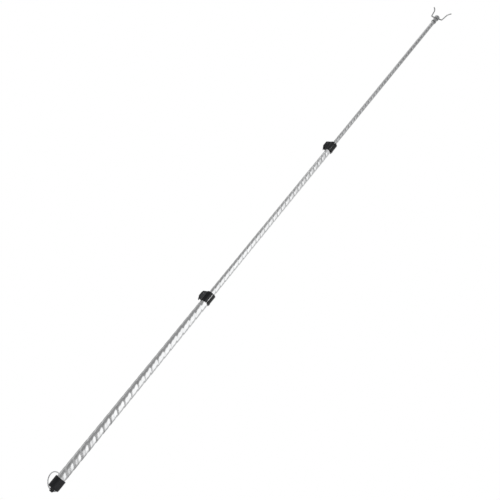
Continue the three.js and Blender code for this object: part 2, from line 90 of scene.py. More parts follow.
# the clamps
COLLAR_LIP = 2.4
CAM_R = 4.2
CAM_LIFT = 0.8
CAM_OFF_COLLAR = 1.0
PIN_RISE = 18.5         # from the collar's foot to the lever's pin
LEVER_PIN_D = 2.6
LEVER_BACK = 2.2
LEVER_STANDOFF = CAM_OFF_COLLAR + 2 * CAM_R + LEVER_BACK
LEVER_WIDTH = 9.0
LEVER_OPEN_DEG = 95.0
LEVER_TAIL_OUT = 3.4
LEVER_TAIL_DROP = 3.5
RIB_COUNT = 4
RIB_PITCH = 2.2
RIB_DEPTH = 0.55
RIB_TOP = 15.6
EAR_THICK = 2.4
EAR_WIDTH = LEVER_WIDTH + 2 * (FIT + EAR_THICK)
EAR_SHY = 1.0
EAR_FOOT = 1.5
EAR_FOOT_OUT = 4.0
EAR_CHIN = 10.0
EAR_BROW = 23.0
EAR_TOP_DROP = 2.5
RIVET_BRIM = 1.1
RIVET_HEIGHT = 0.9
SHOE_WIDTH = 8.0
SHOE_HEIGHT = 9.0
SLIT_DEG = -72.0
SCREW_D = 2.2
SCREW_HEAD_D = 5.0
SCREW_HEAD_HEIGHT = 1.5
SCREW_SEAT = 1.0
SCREW_TIP_GAP = 1.2
THREAD_TURNS = 6
THREAD_DEPTH = 0.25
SLOT_LENGTH = 3.2
SLOT_WIDTH = 0.7
CLAMPS = {
    "lower": {"od": LOWER["od"] + 2 * (FIT + 1.35), "outer": LOWER, "inner": MIDDLE, "slit": 2.0,
              "turn": 0.0, "body": "lower_section", "cam": "lower_cam"},
    "upper": {"od": MIDDLE["od"] + 2 * (FIT + 2.55), "outer": MIDDLE, "inner": UPPER, "slit": 0.4,
              "turn": -16.0, "body": "middle_section", "cam": "upper_cam"},
}

# the fork
SOCKET_OD = UPPER["od"] + 2 * (FIT + 0.65)
SOCKET_LENGTH = 16.0
SOCKET_TOP_WALL = 2.6
STUD_R = 3.5
STUD_RISE = 3.6
BAND_OD = SOCKET_OD + 2 * (FIT + 0.7)
HEAD_ACROSS = 18.4
HEAD_FLOOR = 0.6
HEAD_TOP_BEVEL = 2.4
GRUB_SLOT_WIDTH = 0.6
GRUB_SLOT_DEPTH = 0.8
FORK_WIRE = 4.2
FORK_SPAN = 41.0
FORK_RISE = 44.5
FORK_FLARE = 13.5
FORK_BEND_R = 5.0
FORK_TURN_DEG = -23.5
# each arm, from its bend to its tip, as shares of the flare and of the rise
FORK_ARM = ((0.12, 0.36), (0.24, 0.62), (0.55, 0.84), (1, 1))

# the stage, in metres
PANEL_SLANT = -1.3      # radians that the light panels lean round the pole, for each unit of height
FLOOR_Z = -0.07
FLOOR_RADIUS = 1.5


def z_range(node):
    low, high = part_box(node)
    return low.z / MM, high.z / MM


def clamp_bottom(prefix):
    return z_range(prefix + "_collar")[0]


def pin_x(clamp):
    return -(clamp["od"] / 2 + CAM_OFF_COLLAR + CAM_R)


def pin_z(prefix):
    return clamp_bottom(prefix) + PIN_RISE


# ---- mesh helpers -----------------------------------------------------------------------------
ON_AXIS = 1e-9
SIDE_SHARE = 0.45       # the most of a side that one rounded corner takes
SHARP = 0.02            # a smaller rounding is left as a plain corner


def new_mesh(name, verts, faces):
    """A mesh from millimetre points, with its faces turned outward."""
    mesh = bpy.data.meshes.new(name)
    mesh.from_pydata([tuple(float(c) * MM for c in v) for v in verts], [], faces)
    bm = bmesh.new()
    bm.from_mesh(mesh)
    bmesh.ops.recalc_face_normals(bm, faces=bm.faces)
    bm.to_mesh(mesh)
    bm.free()
    return mesh


def as_object(mesh):
    obj = bpy.data.objects.new(mesh.name, mesh)
    bpy.context.scene.collection.objects.link(obj)
    return obj


def rounded(points, radius, steps=5):
    """The closed outline with its corners rounded: a point's own third value beats the radius."""
    out = []
    count = len(points)
    for i, point in enumerate(points):
        here = np.array(point[:2], float)
        before = np.array(points[i - 1][:2], float)
        after = np.array(points[(i + 1) % count][:2], float)
        wanted = point[2] if len(point) > 2 else radius
        to_before = before - here
        to_after = after - here
        shorter_side = min(np.linalg.norm(to_before), np.linalg.norm(to_after))
        reach = min(wanted, SIDE_SHARE * shorter_side)
        if reach < SHARP:
            out.append(here)
            continue
        start = here + to_before / np.linalg.norm(to_before) * reach
        end = here + to_after / np.linalg.norm(to_after) * reach
        for k in range(steps + 1):
            t = k / steps
            out.append((1 - t) ** 2 * start + 2 * t * (1 - t) * here + t * t * end)
    return out


def turned(name, profile, sides=96):
    """A closed body turned about Z from a closed [radius, height] outline off the axis, or from
    an open one whose two ends are on the axis."""
    profile = [(max(0.0, float(r)), float(z)) for r, z in profile]
    solid = profile[0][0] < ON_AXIS
    verts, faces, rings = [], [], []
    for r, z in profile:
        if solid and r < ON_AXIS:
            rings.append([len(verts)])
            verts.append((0, 0, z))
            continue
        rings.append(list(range(len(verts), len(verts) + sides)))
        for k in range(sides):
            a = 2 * math.pi * k / sides
            verts.append((r * math.cos(a), r * math.sin(a), z))
    pairs = list(zip(rings, rings[1:]))
    if not solid:
        pairs.append((rings[-1], rings[0]))
    for low, high in pairs:
        for k in range(sides):
            n = (k + 1) % sides
            if len(low) == 1:
                faces.append((low[0], high[n], high[k]))
            elif len(high) == 1:
                faces.append((low[k], low[n], high[0]))
            else:
                faces.append((low[k], low[n], high[n], high[k]))
    return new_mesh(name, verts, faces)


def rod(radius, low, high, sides=48):
    return turned("rod", [(0, low), (radius, low), (radius, high), (0, high)], sides)


def plate(name, outline, width):
    """A flat outline in X and Z, spread evenly each side of Y = 0."""
    count = len(outline)
    verts = [(x, -width / 2, z) for x, z in outline] + [(x, width / 2, z) for x, z in outline]
    faces = [tuple(range(count)), tuple(range(2 * count - 1, count - 1, -1))]
    for k in range(count):
        n = (k + 1) % count
        faces.append((k, n, count + n, count + k))
    return new_mesh(name, verts, faces)


def block(x_range, y_range, z_range_mm):
    verts = [(x, y, z) for x in x_range for y in y_range for z in z_range_mm]
    faces = [(0, 1, 3, 2), (4, 6, 7, 5), (0, 4, 5, 1), (2, 3, 7, 6), (0, 2, 6, 4), (1, 5, 7, 3)]
    return new_mesh("block", verts, faces)


def moved(mesh, turn_y=0.0, turn_x=0.0, turn_z=0.0, shift=(0, 0, 0)):
    """Turned about X, then Y, then shifted, then turned about Z, in degrees and millimetres."""
    matrix = (Matrix.Rotation(math.radians(turn_z), 4, "Z")
              @ Matrix.Translation([c * MM for c in shift])
              @ Matrix.Rotation(math.radians(turn_y), 4, "Y")
              @ Matrix.Rotation(math.radians(turn_x), 4, "X"))
    mesh.transform(matrix)
    return mesh


def combine(name, base, steps):
    """Boolean steps, ("UNION" | "DIFFERENCE", mesh), applied one after another to base."""
    obj = as_object(base)
    tools = []
    for operation, mesh in steps:
        tool = as_object(mesh)
        tools.append(tool)
        modifier = obj.modifiers.new(operation, "BOOLEAN")
        modifier.operation = operation
        modifier.object = tool
        modifier.solver = "EXACT"
    depsgraph = bpy.context.evaluated_depsgraph_get()
    result = bpy.data.meshes.new_from_object(obj.evaluated_get(depsgraph), depsgraph=depsgraph)
    result.name = name
    for spare in [obj, *tools]:
        bpy.data.objects.remove(spare)
    return result


def sweep(name, points, plane_normal, radius, sides):
    """A round wire along flat points, with domed ends. The ends' domes stay inside the path."""
    dome_length = radius * 0.6
    points = np.array(points, float)
    normal = np.array(plane_normal, float)
    tangents = np.gradient(points, axis=0)
    tangents /= np.linalg.norm(tangents, axis=1)[:, None]
    stations = []
    # each step of a dome: its share of the wire's radius, and how far it is from the wire's own round
    dome = [(math.sin(a), math.cos(a)) for a in np.linspace(0.12, math.pi / 2, 6)]
    for grow, back in dome[:-1]:
        stations.append((points[0] + tangents[0] * dome_length * (1 - back), tangents[0], radius * grow))
    first = points[0] + tangents[0] * dome_length
    last = points[-1] - tangents[-1] * dome_length
    near_end = 4 * radius
    for point, tangent in zip(points, tangents):
        past_first = (point - first) @ tangents[0] > 0 or np.linalg.norm(point - first) > near_end
        before_last = (last - point) @ tangents[-1] > 0 or np.linalg.norm(point - last) > near_end
        if past_first and before_last:
            stations.append((point, tangent, radius))
    for grow, back in reversed(dome[:-1]):
        stations.append((points[-1] - tangents[-1] * dome_length * (1 - back), tangents[-1], radius * grow))
    verts, faces = [], []
    for centre, tangent, r in stations:
        side = np.cross(tangent, normal)
        for k in range(sides):
            a = 2 * math.pi * k / sides
            verts.append(centre + r * (math.cos(a) * side + math.sin(a) * normal))
    for i in range(len(stations) - 1):
        for k in range(sides):
            n = (k + 1) % sides
            faces.append((i * sides + k, i * sides + n, (i + 1) * sides + n, (i + 1) * sides + k))
    faces.append(tuple(range(sides)))
    faces.append(tuple(range(len(verts) - sides, len(verts))))
    return new_mesh(name, verts, faces)


def piece(mesh, name, body, material, slot, *nodes, bevel=0.0, smooth_angle=35):
    """Puts a finished mesh in the scene, riding on its body in place of its CAD nodes."""
    mesh.name = name
    obj = as_object(mesh)
    obj.name = name
    mesh.materials.clear()
    mesh.materials.append(material)
    for polygon in mesh.polygons:
        polygon.use_smooth = True
        polygon.material_index = 0
    mesh.set_sharp_from_angle(angle=math.radians(smooth_angle))
    if bevel:
        modifier = obj.modifiers.new("edges", "BEVEL")
        modifier.width = bevel * MM
        modifier.segments = 2
        modifier.limit_method = "ANGLE"
        modifier.angle_limit = math.radians(smooth_angle)
        modifier.use_clamp_overlap = True
        even = obj.modifiers.new("normals", "WEIGHTED_NORMAL")
        even.keep_sharp = True
    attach(obj, body)
    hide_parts(*nodes)
    return obj


# ---- materials --------------------------------------------------------------------------------
def start_material(name):
    material = bpy.data.materials.new(name)
    material.use_nodes = True
    tree = material.node_tree
    shader = tree.nodes["Principled BSDF"]
    coordinates = tree.nodes.new("ShaderNodeTexCoord")
    return material, tree, shader, coordinates.outputs["Object"]


def link(tree, source, target):
    tree.links.new(source, target)


def noise(tree, vector, scale, detail, roughness, stretch=(1, 1, 1)):
    mapping = tree.nodes.new("ShaderNodeMapping")
    mapping.inputs["Scale"].default_value = stretch
    link(tree, vector, mapping.inputs["Vector"])
    node = tree.nodes.new("ShaderNodeTexNoise")
    node.inputs["Scale"].default_value = scale
    node.inputs["Detail"].default_value = detail
    node.inputs["Roughness"].default_value = roughness
    link(tree, mapping.outputs["Vector"], node.inputs["Vector"])
    return node.outputs["Fac"]


def ramp(tree, value, stops):
    node = tree.nodes.new("ShaderNodeValToRGB")
    elements = node.color_ramp.elements
    while len(elements) < len(stops):
        elements.new(0.5)
    for element, (place, colour) in zip(elements, stops):
        element.position = place
        shade = colour if isinstance(colour, tuple) else (colour, colour, colour)
        element.color = (*shade, 1)
    link(tree, value, node.inputs["Fac"])
    return node.outputs["Color"]


def spread(tree, value, low, high, from_low=0.0, from_high=1.0):
    node = tree.nodes.new("ShaderNodeMapRange")
    node.inputs["From Min"].default_value = from_low
    node.inputs["From Max"].default_value = from_high
    node.inputs["To Min"].default_value = low
    node.inputs["To Max"].default_value = high
    link(tree, value, node.inputs["Value"])
    return node.outputs["Result"]


def mix_colour(tree, factor, first, second):
    node = tree.nodes.new("ShaderNodeMix")
    node.data_type = "RGBA"
    for socket, value in ((node.inputs[0], factor), (node.inputs[6], first), (node.inputs[7], second)):
        if hasattr(value, "is_output"):
            link(tree, value, socket)
        elif isinstance(value, tuple):
            socket.default_value = (*value, 1)
        else:
            socket.default_value = value
    return node.outputs[2]


def bump(tree, shader, height, strength, distance_mm):
    node = tree.nodes.new("ShaderNodeBump")
    node.inputs["Strength"].default_value = strength
    node.inputs["Distance"].default_value = distance_mm * MM
    link(tree, height, node.inputs["Height"])
    link(tree, node.outputs["Normal"], shader.inputs["Normal"])


def roughness_from(tree, pattern, low, high):
    """Roughness between low and high, over the middle of a noise pattern's range."""
    return spread(tree, pattern, low, high, from_low=0.3, from_high=0.7)


def edge_wear_and_highlight(tree, low, high):
    """A mask from 0 where the surface is flat to 1 on a sharp edge: worn bare edges on the steel, a painted
    edge highlight on the nylon.
    """
    geometry = tree.nodes.new("ShaderNodeNewGeometry")
    return spread(tree, geometry.outputs["Pointiness"], 0.0, 1.0, low, high)


def tube_steel(name, light, dark, rough_low, rough_high):
    """Bright rolled stainless: long drawing lines, cloudy handling marks and fine pitting."""
    material, tree, shader, place = start_material(name)
    clouds = noise(tree, place, scale=38, detail=4.0, roughness=0.6, stretch=(1, 1, 0.5))
    lines = noise(tree, place, scale=900, detail=2.0, roughness=0.5, stretch=(1, 1, 0.03))
    patches = noise(tree, place, scale=160, detail=3.0, roughness=0.6)
    tint = ramp(tree, clouds, [(0.32, dark), (0.66, light)])
    patch_share = 0.35
    tint = mix_colour(tree, patch_share, tint, ramp(tree, patches, [(0.35, dark), (0.6, light)]))
    link(tree, tint, shader.inputs["Base Color"])
    link(tree, roughness_from(tree, patches, rough_low, rough_high), shader.inputs["Roughness"])
    shader.inputs["Metallic"].default_value = 1.0
    shader.inputs["Anisotropic"].default_value = 0.25
    bump(tree, shader, lines, strength=0.12, distance_mm=0.05)
    return material


def plain_steel(name, light, dark, rough_low, rough_high):
    """Plated or drawn steel with cloudy dulling, a fine grain and brighter edges."""
    material, tree, shader, place = start_material(name)
    clouds = noise(tree, place, scale=220, detail=4.0, roughness=0.6)
    fine = noise(tree, place, scale=2800, detail=2.0, roughness=0.5)
    tint = ramp(tree, clouds, [(0.3, dark), (0.65, light)])
    bare = tuple(min(1, c * 1.3) for c in light)
    tint = mix_colour(tree, edge_wear_and_highlight(tree, 0.53, 0.62), tint, bare)
    link(tree, tint, shader.inputs["Base Color"])
    link(tree, roughness_from(tree, clouds, rough_low, rough_high), shader.inputs["Roughness"])
    shader.inputs["Metallic"].default_value = 1.0
    bump(tree, shader, fine, strength=0.15, distance_mm=0.03)
    return material


def moulded_nylon(name):
    """Black moulded nylon: spark-eroded grain, faint flow clouding, and a painted highlight that greys the
    sharp edges as if they caught the light.
    """
    material, tree, shader, place = start_material(name)
    grain = noise(tree, place, scale=2600, detail=2.0, roughness=0.6)
    clouds = noise(tree, place, scale=90, detail=4.0, roughness=0.6)
    black = (0.0035, 0.0045, 0.006)
    soft_black = (0.0075, 0.009, 0.0115)
    # painted highlight: the grey that sharp edges take, standing in for light catching them
    edge_highlight_grey = (0.03, 0.033, 0.037)
    tint = ramp(tree, clouds, [(0.35, black), (0.65, soft_black)])
    edge_highlighted = mix_colour(tree, edge_wear_and_highlight(tree, 0.52, 0.66), tint, edge_highlight_grey)
    link(tree, edge_highlighted, shader.inputs["Base Color"])
    link(tree, roughness_from(tree, clouds, 0.2, 0.3), shader.inputs["Roughness"])
    shader.inputs["Specular IOR Level"].default_value = 0.4
    bump(tree, shader, grain, strength=0.16, distance_mm=0.04)
    return material


STEEL_TUBE = tube_steel("rolled_stainless", (0.86, 0.865, 0.87), (0.70, 0.705, 0.71), 0.12, 0.26)
STEEL_UPPER = tube_steel("satin_stainless", (0.70, 0.705, 0.71), (0.52, 0.525, 0.53), 0.2, 0.34)
STEEL_FORK = plain_steel("fork_zinc", (0.58, 0.585, 0.59), (0.42, 0.425, 0.43), 0.3, 0.46)
STEEL_RING = plain_steel("ring_steel", (0.72, 0.725, 0.735), (0.58, 0.585, 0.6), 0.2, 0.34)
STEEL_PIN = plain_steel("blackened_steel", (0.13, 0.132, 0.137), (0.07, 0.072, 0.076), 0.3, 0.45)
NYLON = moulded_nylon("moulded_nylon")


# ---- tubes ------------------------------------------------------------------------------------
def groove_depth(tube, angle, z):
    """The rolled pattern: left-hand helical grooves, one every pitch along the tube, and not
    quite even in depth."""
    phase = (GROOVE_STARTS * angle / (2 * math.pi) + z / tube["pitch"]) % 1.0 - 0.5
    circumference = math.pi * tube["od"]
    helix = math.atan2(circumference, tube["pitch"] * GROOVE_STARTS)
    distance = phase * tube["pitch"] * math.sin(helix)
    wave = tube["wave"] * (0.5 + 0.5 * np.cos(2 * math.pi * phase))
    half_wave = tube["half_wave"] * (0.5 + 0.5 * np.cos(4 * math.pi * phase))
    groove = tube["groove"] * np.exp(-(distance / tube["spread"]) ** 2)
    slow_change = 0.16 * np.sin(z / 41 + 1.3) * np.sin(2 * angle + z / 57)
    quick_change = 0.1 * np.sin(z / 13 + 3 * angle)
    return (wave + half_wave + groove) * (1 + slow_change + quick_change) - PROUD


def tail_swell(z, low, bead_z):
    """How far the tail's flared lip and rolled bead stand out of an inner tube."""
    lip = TAIL_FLARE * np.clip(1 - (z - low) / TAIL_FLARE_LENGTH, 0, 1)
    bead = TAIL_BEAD * np.exp(-((z - bead_z) / TAIL_BEAD_WIDTH) ** 2)
    return np.maximum(lip, bead)


def window_cells(tube, window, z, angle):
    """Which cells of the tube's mesh the shoe's window takes out."""
    turn, centre_z = window
    mid_z = z[:-1] + tube["step"] / 2
    mid_angle = angle[:-1] + math.pi / tube["columns"] - math.radians(180 + turn)
    on_this_side = np.cos(mid_angle) > 0
    across = abs(tube["od"] / 2 * np.sin(mid_angle)) < SHOE_WIDTH / 2 + 2 * FIT
    along = abs(mid_z - centre_z) < SHOE_HEIGHT / 2 + 2 * FIT
    gone = np.zeros(z.shape, bool)
    gone[:-1] = on_this_side & across & along
    return gone


def tube_piece(node, body, tube, material, slot, window=None, tail=None):
    """A thin tube with the pattern rolled into its outside and a real window for the shoe. The
    bore is plain, so it has fewer rings than the outside except at the window and the tail.
    window is the clamp's turn and the window's height, and tail is the height of the bead."""
    low, high = z_range(node)
    columns = tube["columns"]
    rows = int(round((high - low) / tube["step"])) + 1
    heights = np.linspace(low, high, rows)
    angles = np.arange(columns) * 2 * math.pi / columns
    z, a = np.meshgrid(heights, angles, indexing="ij")
    swell = tail_swell(z, low, tail) if tail else np.zeros_like(z)
    plain_end = swell >= 0.02
    outer = tube["od"] / 2 - groove_depth(tube, a, z) * ~plain_end + swell
    inner = np.full_like(z, tube["od"] / 2 - tube["wall"] - BORE_IN) + swell
    inner = np.minimum(inner, outer - THIN_WALL)
    verts = []
    for radius in (outer, inner):
        verts.extend(zip((radius * np.cos(a)).ravel(), (radius * np.sin(a)).ravel(), z.ravel()))

    gone = np.zeros((rows, columns), bool)
    fine = (heights < low + TAIL_FINE) & (tail is not None)
    if window:
        gone = window_cells(tube, window, z, a)
        fine |= abs(heights - window[1]) < SHOE_HEIGHT
    kept = [i for i in range(rows) if fine[i] or i % BORE_ROW_EVERY == 0 or i == rows - 1]
    to_bore = rows * columns
    around = [(k, (k + 1) % columns) for k in range(columns)]
    faces = []
    for i in range(rows - 1):
        for k, n in around:
            corners = (i * columns + k, i * columns + n, (i + 1) * columns + n, (i + 1) * columns + k)
            if not gone[i, k]:
                faces.append(corners)
                continue
            # a wall to the bore on each side of this cell that has a cell left beyond it
            for down, across, first, second in ((-1, 0, 0, 1), (0, 1, 1, 2), (1, 0, 2, 3), (0, -1, 3, 0)):
                if not gone[i + down, (k + across) % columns]:
                    edge = (corners[first], corners[second])
                    faces.append((*edge, edge[1] + to_bore, edge[0] + to_bore))
    for i, j in zip(kept, kept[1:]):
        for k, n in around:
            if not gone[i, k]:
                corners = (j * columns + k, j * columns + n, i * columns + n, i * columns + k)
                faces.append(tuple(to_bore + corner for corner in corners))
    for row in (0, rows - 1):
        for k, n in around:
            edge = (row * columns + k, row * columns + n)
            faces.append((*edge, edge[1] + to_bore, edge[0] + to_bore))
    mesh = new_mesh(node + "_rolled", verts, faces)
    drop_loose(mesh)
    return piece(mesh, node + "_rolled", body, material, slot, node, smooth_angle=60)


def drop_loose(mesh):
    """Removes the points that no face uses."""
    bm = bmesh.new()
    bm.from_mesh(mesh)
    bmesh.ops.delete(bm, geom=[v for v in bm.verts if not v.link_faces], context="VERTS")
    bm.to_mesh(mesh)
    bm.free()


def build_tubes():
    lower_window = (CLAMPS["lower"]["turn"], pin_z("lower"))
    upper_window = (CLAMPS["upper"]["turn"], pin_z("upper"))
    tube_piece("lower_tube", "lower_section", LOWER, STEEL_TUBE, "tube_steel", lower_window)
    middle_bead = z_range("middle_tail_bush")[1] - TAIL_BEAD_DOWN
    tube_piece("middle_tube", "middle_section", MIDDLE, STEEL_TUBE, "tube_steel", upper_window,
               middle_bead)
    upper_bead = z_range("upper_tail_bush")[1] - TAIL_BEAD_DOWN
    tube_piece("upper_tube", "upper_section", UPPER, STEEL_UPPER, "upper_steel", None, upper_bead)


# ---- butt cap and ring ------------------------------------------------------------------------
def build_butt_cap():
    """A black cup on the butt, with a lug below it and the ring's hole through the lug."""
    top = z_range("butt_cap")[1]
    outer = CAP_OD / 2
    bore = LOWER["od"] / 2 + FIT
    floor = LUG_DROP + CAP_FLOOR
    wall = [(outer, LUG_DROP, CAP_EDGE_REACH), (outer, top, 1.0), (bore, top, 0.5), (bore, floor, 0.6)]
    cup = turned("cup", rounded([(0, LUG_DROP, 0.0), *wall, (0, floor, 0.0)], 0.5, 8))
    half = LUG_WIDTH / 2
    sunk = LUG_DROP + CAP_FLOOR / 2
    foot = half - LUG_CORNER
    lug = plate("lug", rounded([
        (half, sunk, 0), (-half, sunk, 0), (-half, LUG_CORNER, 2.2), (-foot, 0, 1.2),
        (foot, 0, 1.2), (half, LUG_CORNER, 2.2)], 1, 6), LUG_THICK)
    hole = moved(rod(RING_WIRE / 2 + RING_PLAY, -LUG_THICK, LUG_THICK), turn_x=90, shift=(0, 0, LUG_HOLE_UP))
    turn = RING_HINGE_DEG - 90
    cap = combine("cap", cup, [("UNION", moved(lug, turn_z=turn)), ("DIFFERENCE", moved(hole, turn_z=turn))])
    piece(cap, "butt_cap_moulded", "lower_section", NYLON, "black_nylon", "butt_cap", bevel=0.35)


def build_ring():
    """One wire bent round until its ends nearly meet, through the lug and folded up beside the cap."""
    hinge = np.array([math.cos(math.radians(RING_HINGE_DEG)), math.sin(math.radians(RING_HINGE_DEG)), 0])
    outward = np.array([-hinge[1], hinge[0], 0])
    tilt = math.radians(RING_FOLD_DEG)
    fold = math.cos(tilt) * np.array([0, 0, 1]) + math.sin(tilt) * outward
    centre = np.array([0, 0, LUG_HOLE_UP]) + RING_MEAN_R * fold
    half_gap = RING_GAP / 2 / RING_MEAN_R
    angles = np.linspace(half_gap, 2 * math.pi - half_gap, 181)
    points = [centre + RING_MEAN_R * (math.cos(a) * fold + math.sin(a) * hinge) for a in angles]
    ring = sweep("ring", points, np.cross(fold, hinge), RING_WIRE / 2, 20)
    piece(ring, "hang_ring_wire", "ring", STEEL_RING, "ring_wire", "hang_ring")


# ---- clamps -----------------------------------------------------------------------------------
def shoe_window(prefix, reach):
    """The space that the brake shoe slides in, from the axis to past the collar's wall."""
    centre = pin_z(prefix)
    half_height = SHOE_HEIGHT / 2 + FIT
    half_width = SHOE_WIDTH / 2 + FIT
    return block((-reach - 6, 0), (-half_width, half_width), (centre - half_height, centre + half_height))


def build_collar(prefix):
    """A split collar with a lip over the tube's mouth and two ears that hold the lever's pin."""
    clamp = CLAMPS[prefix]
    low, high = z_range(prefix + "_collar")
    outer = clamp["od"] / 2
    tube = clamp["outer"]["od"] / 2 + FIT
    throat = clamp["inner"]["od"] / 2 + FIT
    lip = high - COLLAR_LIP
    shell = turned("shell", rounded([
        (tube, low), (outer, low, 0.9), (outer, high, 2.6), (throat, high, 0.7),
        (throat, lip, 0.2), (tube, lip, 0.2)], 0.3, 6))
    face = outer + LEVER_STANDOFF - EAR_SHY
    root = -tube + 1
    ears = plate("ears", rounded([
        (root, low + EAR_FOOT, 0), (-outer - EAR_FOOT_OUT, low + EAR_FOOT, 2.5),
        (-face, low + EAR_CHIN, 3), (-face, low + EAR_BROW, 1.6), (-face + 1.2, low + EAR_BROW + 1.5, 1.6),
        (-outer + 1.2, high - EAR_TOP_DROP, 2.5), (root, high - EAR_TOP_DROP, 0)], 1, 6), EAR_WIDTH)
    half_slot = LEVER_WIDTH / 2 + FIT
    lever_slot = block((-face - 5, -outer - 0.4), (-half_slot, half_slot), (low - 1, high + 1))
    pin_hole = moved(rod(LEVER_PIN_D / 2 + FIT, -EAR_WIDTH, EAR_WIDTH), turn_x=90,
                     shift=(pin_x(clamp), 0, pin_z(prefix)))
    slit = moved(block((0, outer + 2), (-clamp["slit"] / 2, clamp["slit"] / 2), (low - 1, high + 1)),
                 turn_z=SLIT_DEG)
    screw_place = (0, 0, low + SCREW_HEAD_D)
    screw_hole = moved(rod(SCREW_D / 2 + FIT, 0, 30), turn_y=90, shift=screw_place)
    screw_seat = moved(rod(SCREW_HEAD_D / 2 + FIT, outer - SCREW_SEAT, outer + 3), turn_y=90,
                       shift=screw_place)
    collar = combine("collar", shell, [
        ("UNION", ears),
        ("DIFFERENCE", lever_slot),
        ("DIFFERENCE", rod(tube, low - 1, lip, 96)),
        ("DIFFERENCE", shoe_window(prefix, outer)),
        ("DIFFERENCE", pin_hole),
        ("DIFFERENCE", slit),
        ("DIFFERENCE", screw_hole),
        ("DIFFERENCE", screw_seat),
    ])
    moved(collar, turn_z=clamp["turn"])
    piece(collar, prefix + "_collar_moulded", clamp["body"], NYLON, "black_nylon", prefix + "_collar",
          bevel=0.3)


def cam_outline(px, pz):
    """The cam's working face: it draws in by its lift while the lever opens."""
    points = []
    for angle in np.linspace(0, LEVER_OPEN_DEG + 15, 24):
        radius = CAM_R - CAM_LIFT * min(1, angle / LEVER_OPEN_DEG)
        turn = math.radians(angle)
        points.append((px + radius * math.cos(turn), pz + radius * math.sin(turn), 0))
    return points


def build_lever(prefix):
    """The lever, shut: its cam on the shoe, a ribbed back for the thumb, and a hooked tail."""
    clamp = CLAMPS[prefix]
    low = clamp_bottom(prefix)
    px, pz = pin_x(clamp), pin_z(prefix)
    face = clamp["od"] / 2 + LEVER_STANDOFF
    tail = clamp["od"] / 2 + LEVER_TAIL_OUT
    tip = low - LEVER_TAIL_DROP
    outline = cam_outline(px, pz)
    outline += [(-face + 1.5, pz + 3.2, 0.8), (-face, pz + 1.8, 1.5)]
    for rib in range(RIB_COUNT):
        z = low + RIB_TOP - rib * RIB_PITCH
        outline += [(-face, z, 0.3), (-face + RIB_DEPTH, z - RIB_DEPTH, 0.3), (-face, z - 2 * RIB_DEPTH, 0.3)]
    outline += [
        (-face + 0.2, low + 7.5, 3), (-face + 2.6, low + 3, 3), (-tail - 3, tip + 1, 1.2),
        (-tail - 1.4, tip, 0.5), (-tail, tip + 0.6, 0.5), (-tail - 1.1, low + 4, 2), (-tail - 2, pz - 6, 2),
        (px + 0.6, pz - CAM_R + 0.2, 0.6), (px + CAM_R * 0.8, pz - CAM_R * 0.6, 0.6)]
    body = plate("lever", rounded(outline, 0.5, 5), LEVER_WIDTH)
    pin_hole = moved(rod(LEVER_PIN_D / 2 + FIT, -LEVER_WIDTH, LEVER_WIDTH), turn_x=90, shift=(px, 0, pz))
    lever = moved(combine("lever", body, [("DIFFERENCE", pin_hole)]), turn_z=clamp["turn"])
    piece(lever, prefix + "_lever_moulded", clamp["cam"], NYLON, "black_nylon", prefix + "_lever", bevel=0.4)


def build_lever_pin(prefix):
    """A rivet through ears and lever, with a domed head outside each ear."""
    clamp = CLAMPS[prefix]
    shank = LEVER_PIN_D / 2
    head = shank + RIVET_BRIM
    inner = EAR_WIDTH / 2 + FIT
    end = inner + RIVET_HEIGHT
    outline = rounded([(0, -end, 0), (head, -end, 0.7), (head, -inner, 0.1), (shank, -inner, 0.1),
                       (shank, inner, 0.1), (head, inner, 0.1), (head, end, 0.7), (0, end, 0)], 0.2, 5)
    pin = moved(turned("pin", outline, 40), turn_x=90, shift=(pin_x(clamp), 0, pin_z(prefix)))
    piece(moved(pin, turn_z=clamp["turn"]), prefix + "_lever_rivet", clamp["body"], STEEL_PIN, "pin_steel",
          prefix + "_lever_pin")


def build_collar_screw(prefix):
    """A cross-slot pan-head screw, threaded from its tip to its seat."""
    clamp = CLAMPS[prefix]
    seat = clamp["od"] / 2 - SCREW_SEAT + FIT
    tip = clamp["inner"]["od"] / 2 + SCREW_TIP_GAP
    top = seat + SCREW_HEAD_HEIGHT
    head = SCREW_HEAD_D / 2
    outline = [(0, tip, 0), (SCREW_D / 2, tip + 0.4, 0.2)]
    for k in range(THREAD_TURNS):
        z = tip + 0.6 + k * (seat - tip - 0.8) / THREAD_TURNS
        outline += [(SCREW_D / 2, z, 0), (SCREW_D / 2 - THREAD_DEPTH, z + 0.15, 0)]
    outline += [(SCREW_D / 2, seat, 0), (head, seat, 0.2), (head, top - 0.6, 0.5),
                (head * 0.72, top, 0.6), (0, top, 0)]
    screw = turned("screw", rounded(outline, 0.1, 4), 40)
    long_way = (-SLOT_LENGTH / 2, SLOT_LENGTH / 2)
    short_way = (-SLOT_WIDTH / 2, SLOT_WIDTH / 2)
    deep = (seat + 0.8, seat + 3)
    screw = combine("screw", screw, [("DIFFERENCE", block(long_way, short_way, deep)),
                                     ("DIFFERENCE", block(short_way, long_way, deep))])
    moved(screw, turn_y=90, shift=(0, 0, clamp_bottom(prefix) + SCREW_HEAD_D))
    piece(moved(screw, turn_z=clamp["turn"]), prefix + "_collar_pan_screw", clamp["body"], STEEL_PIN,
          "pin_steel", prefix + "_collar_screw")


# ---- fork -------------------------------------------------------------------------------------
def build_fork():
    low = z_range("fork_socket")[0]
    build_fork_socket(low)
    band_low, band_high = z_range("socket_band")
    inner = SOCKET_OD / 2 + FIT
    band = turned("band", rounded([(inner, band_low), (BAND_OD / 2, band_low, 0.9),
                                   (BAND_OD / 2, band_high, 0.9), (inner, band_high)], 0.2, 5))
    piece(band, "socket_band_rolled", "upper_section", STEEL_FORK, "fork_steel", "socket_band")
    bar_z = z_range("fork_head")[0] + STUD_RISE + FIT + HEAD_FLOOR + FORK_WIRE / 2
    build_fork_head(bar_z)
    build_head_screw()
    build_fork_wire(bar_z)


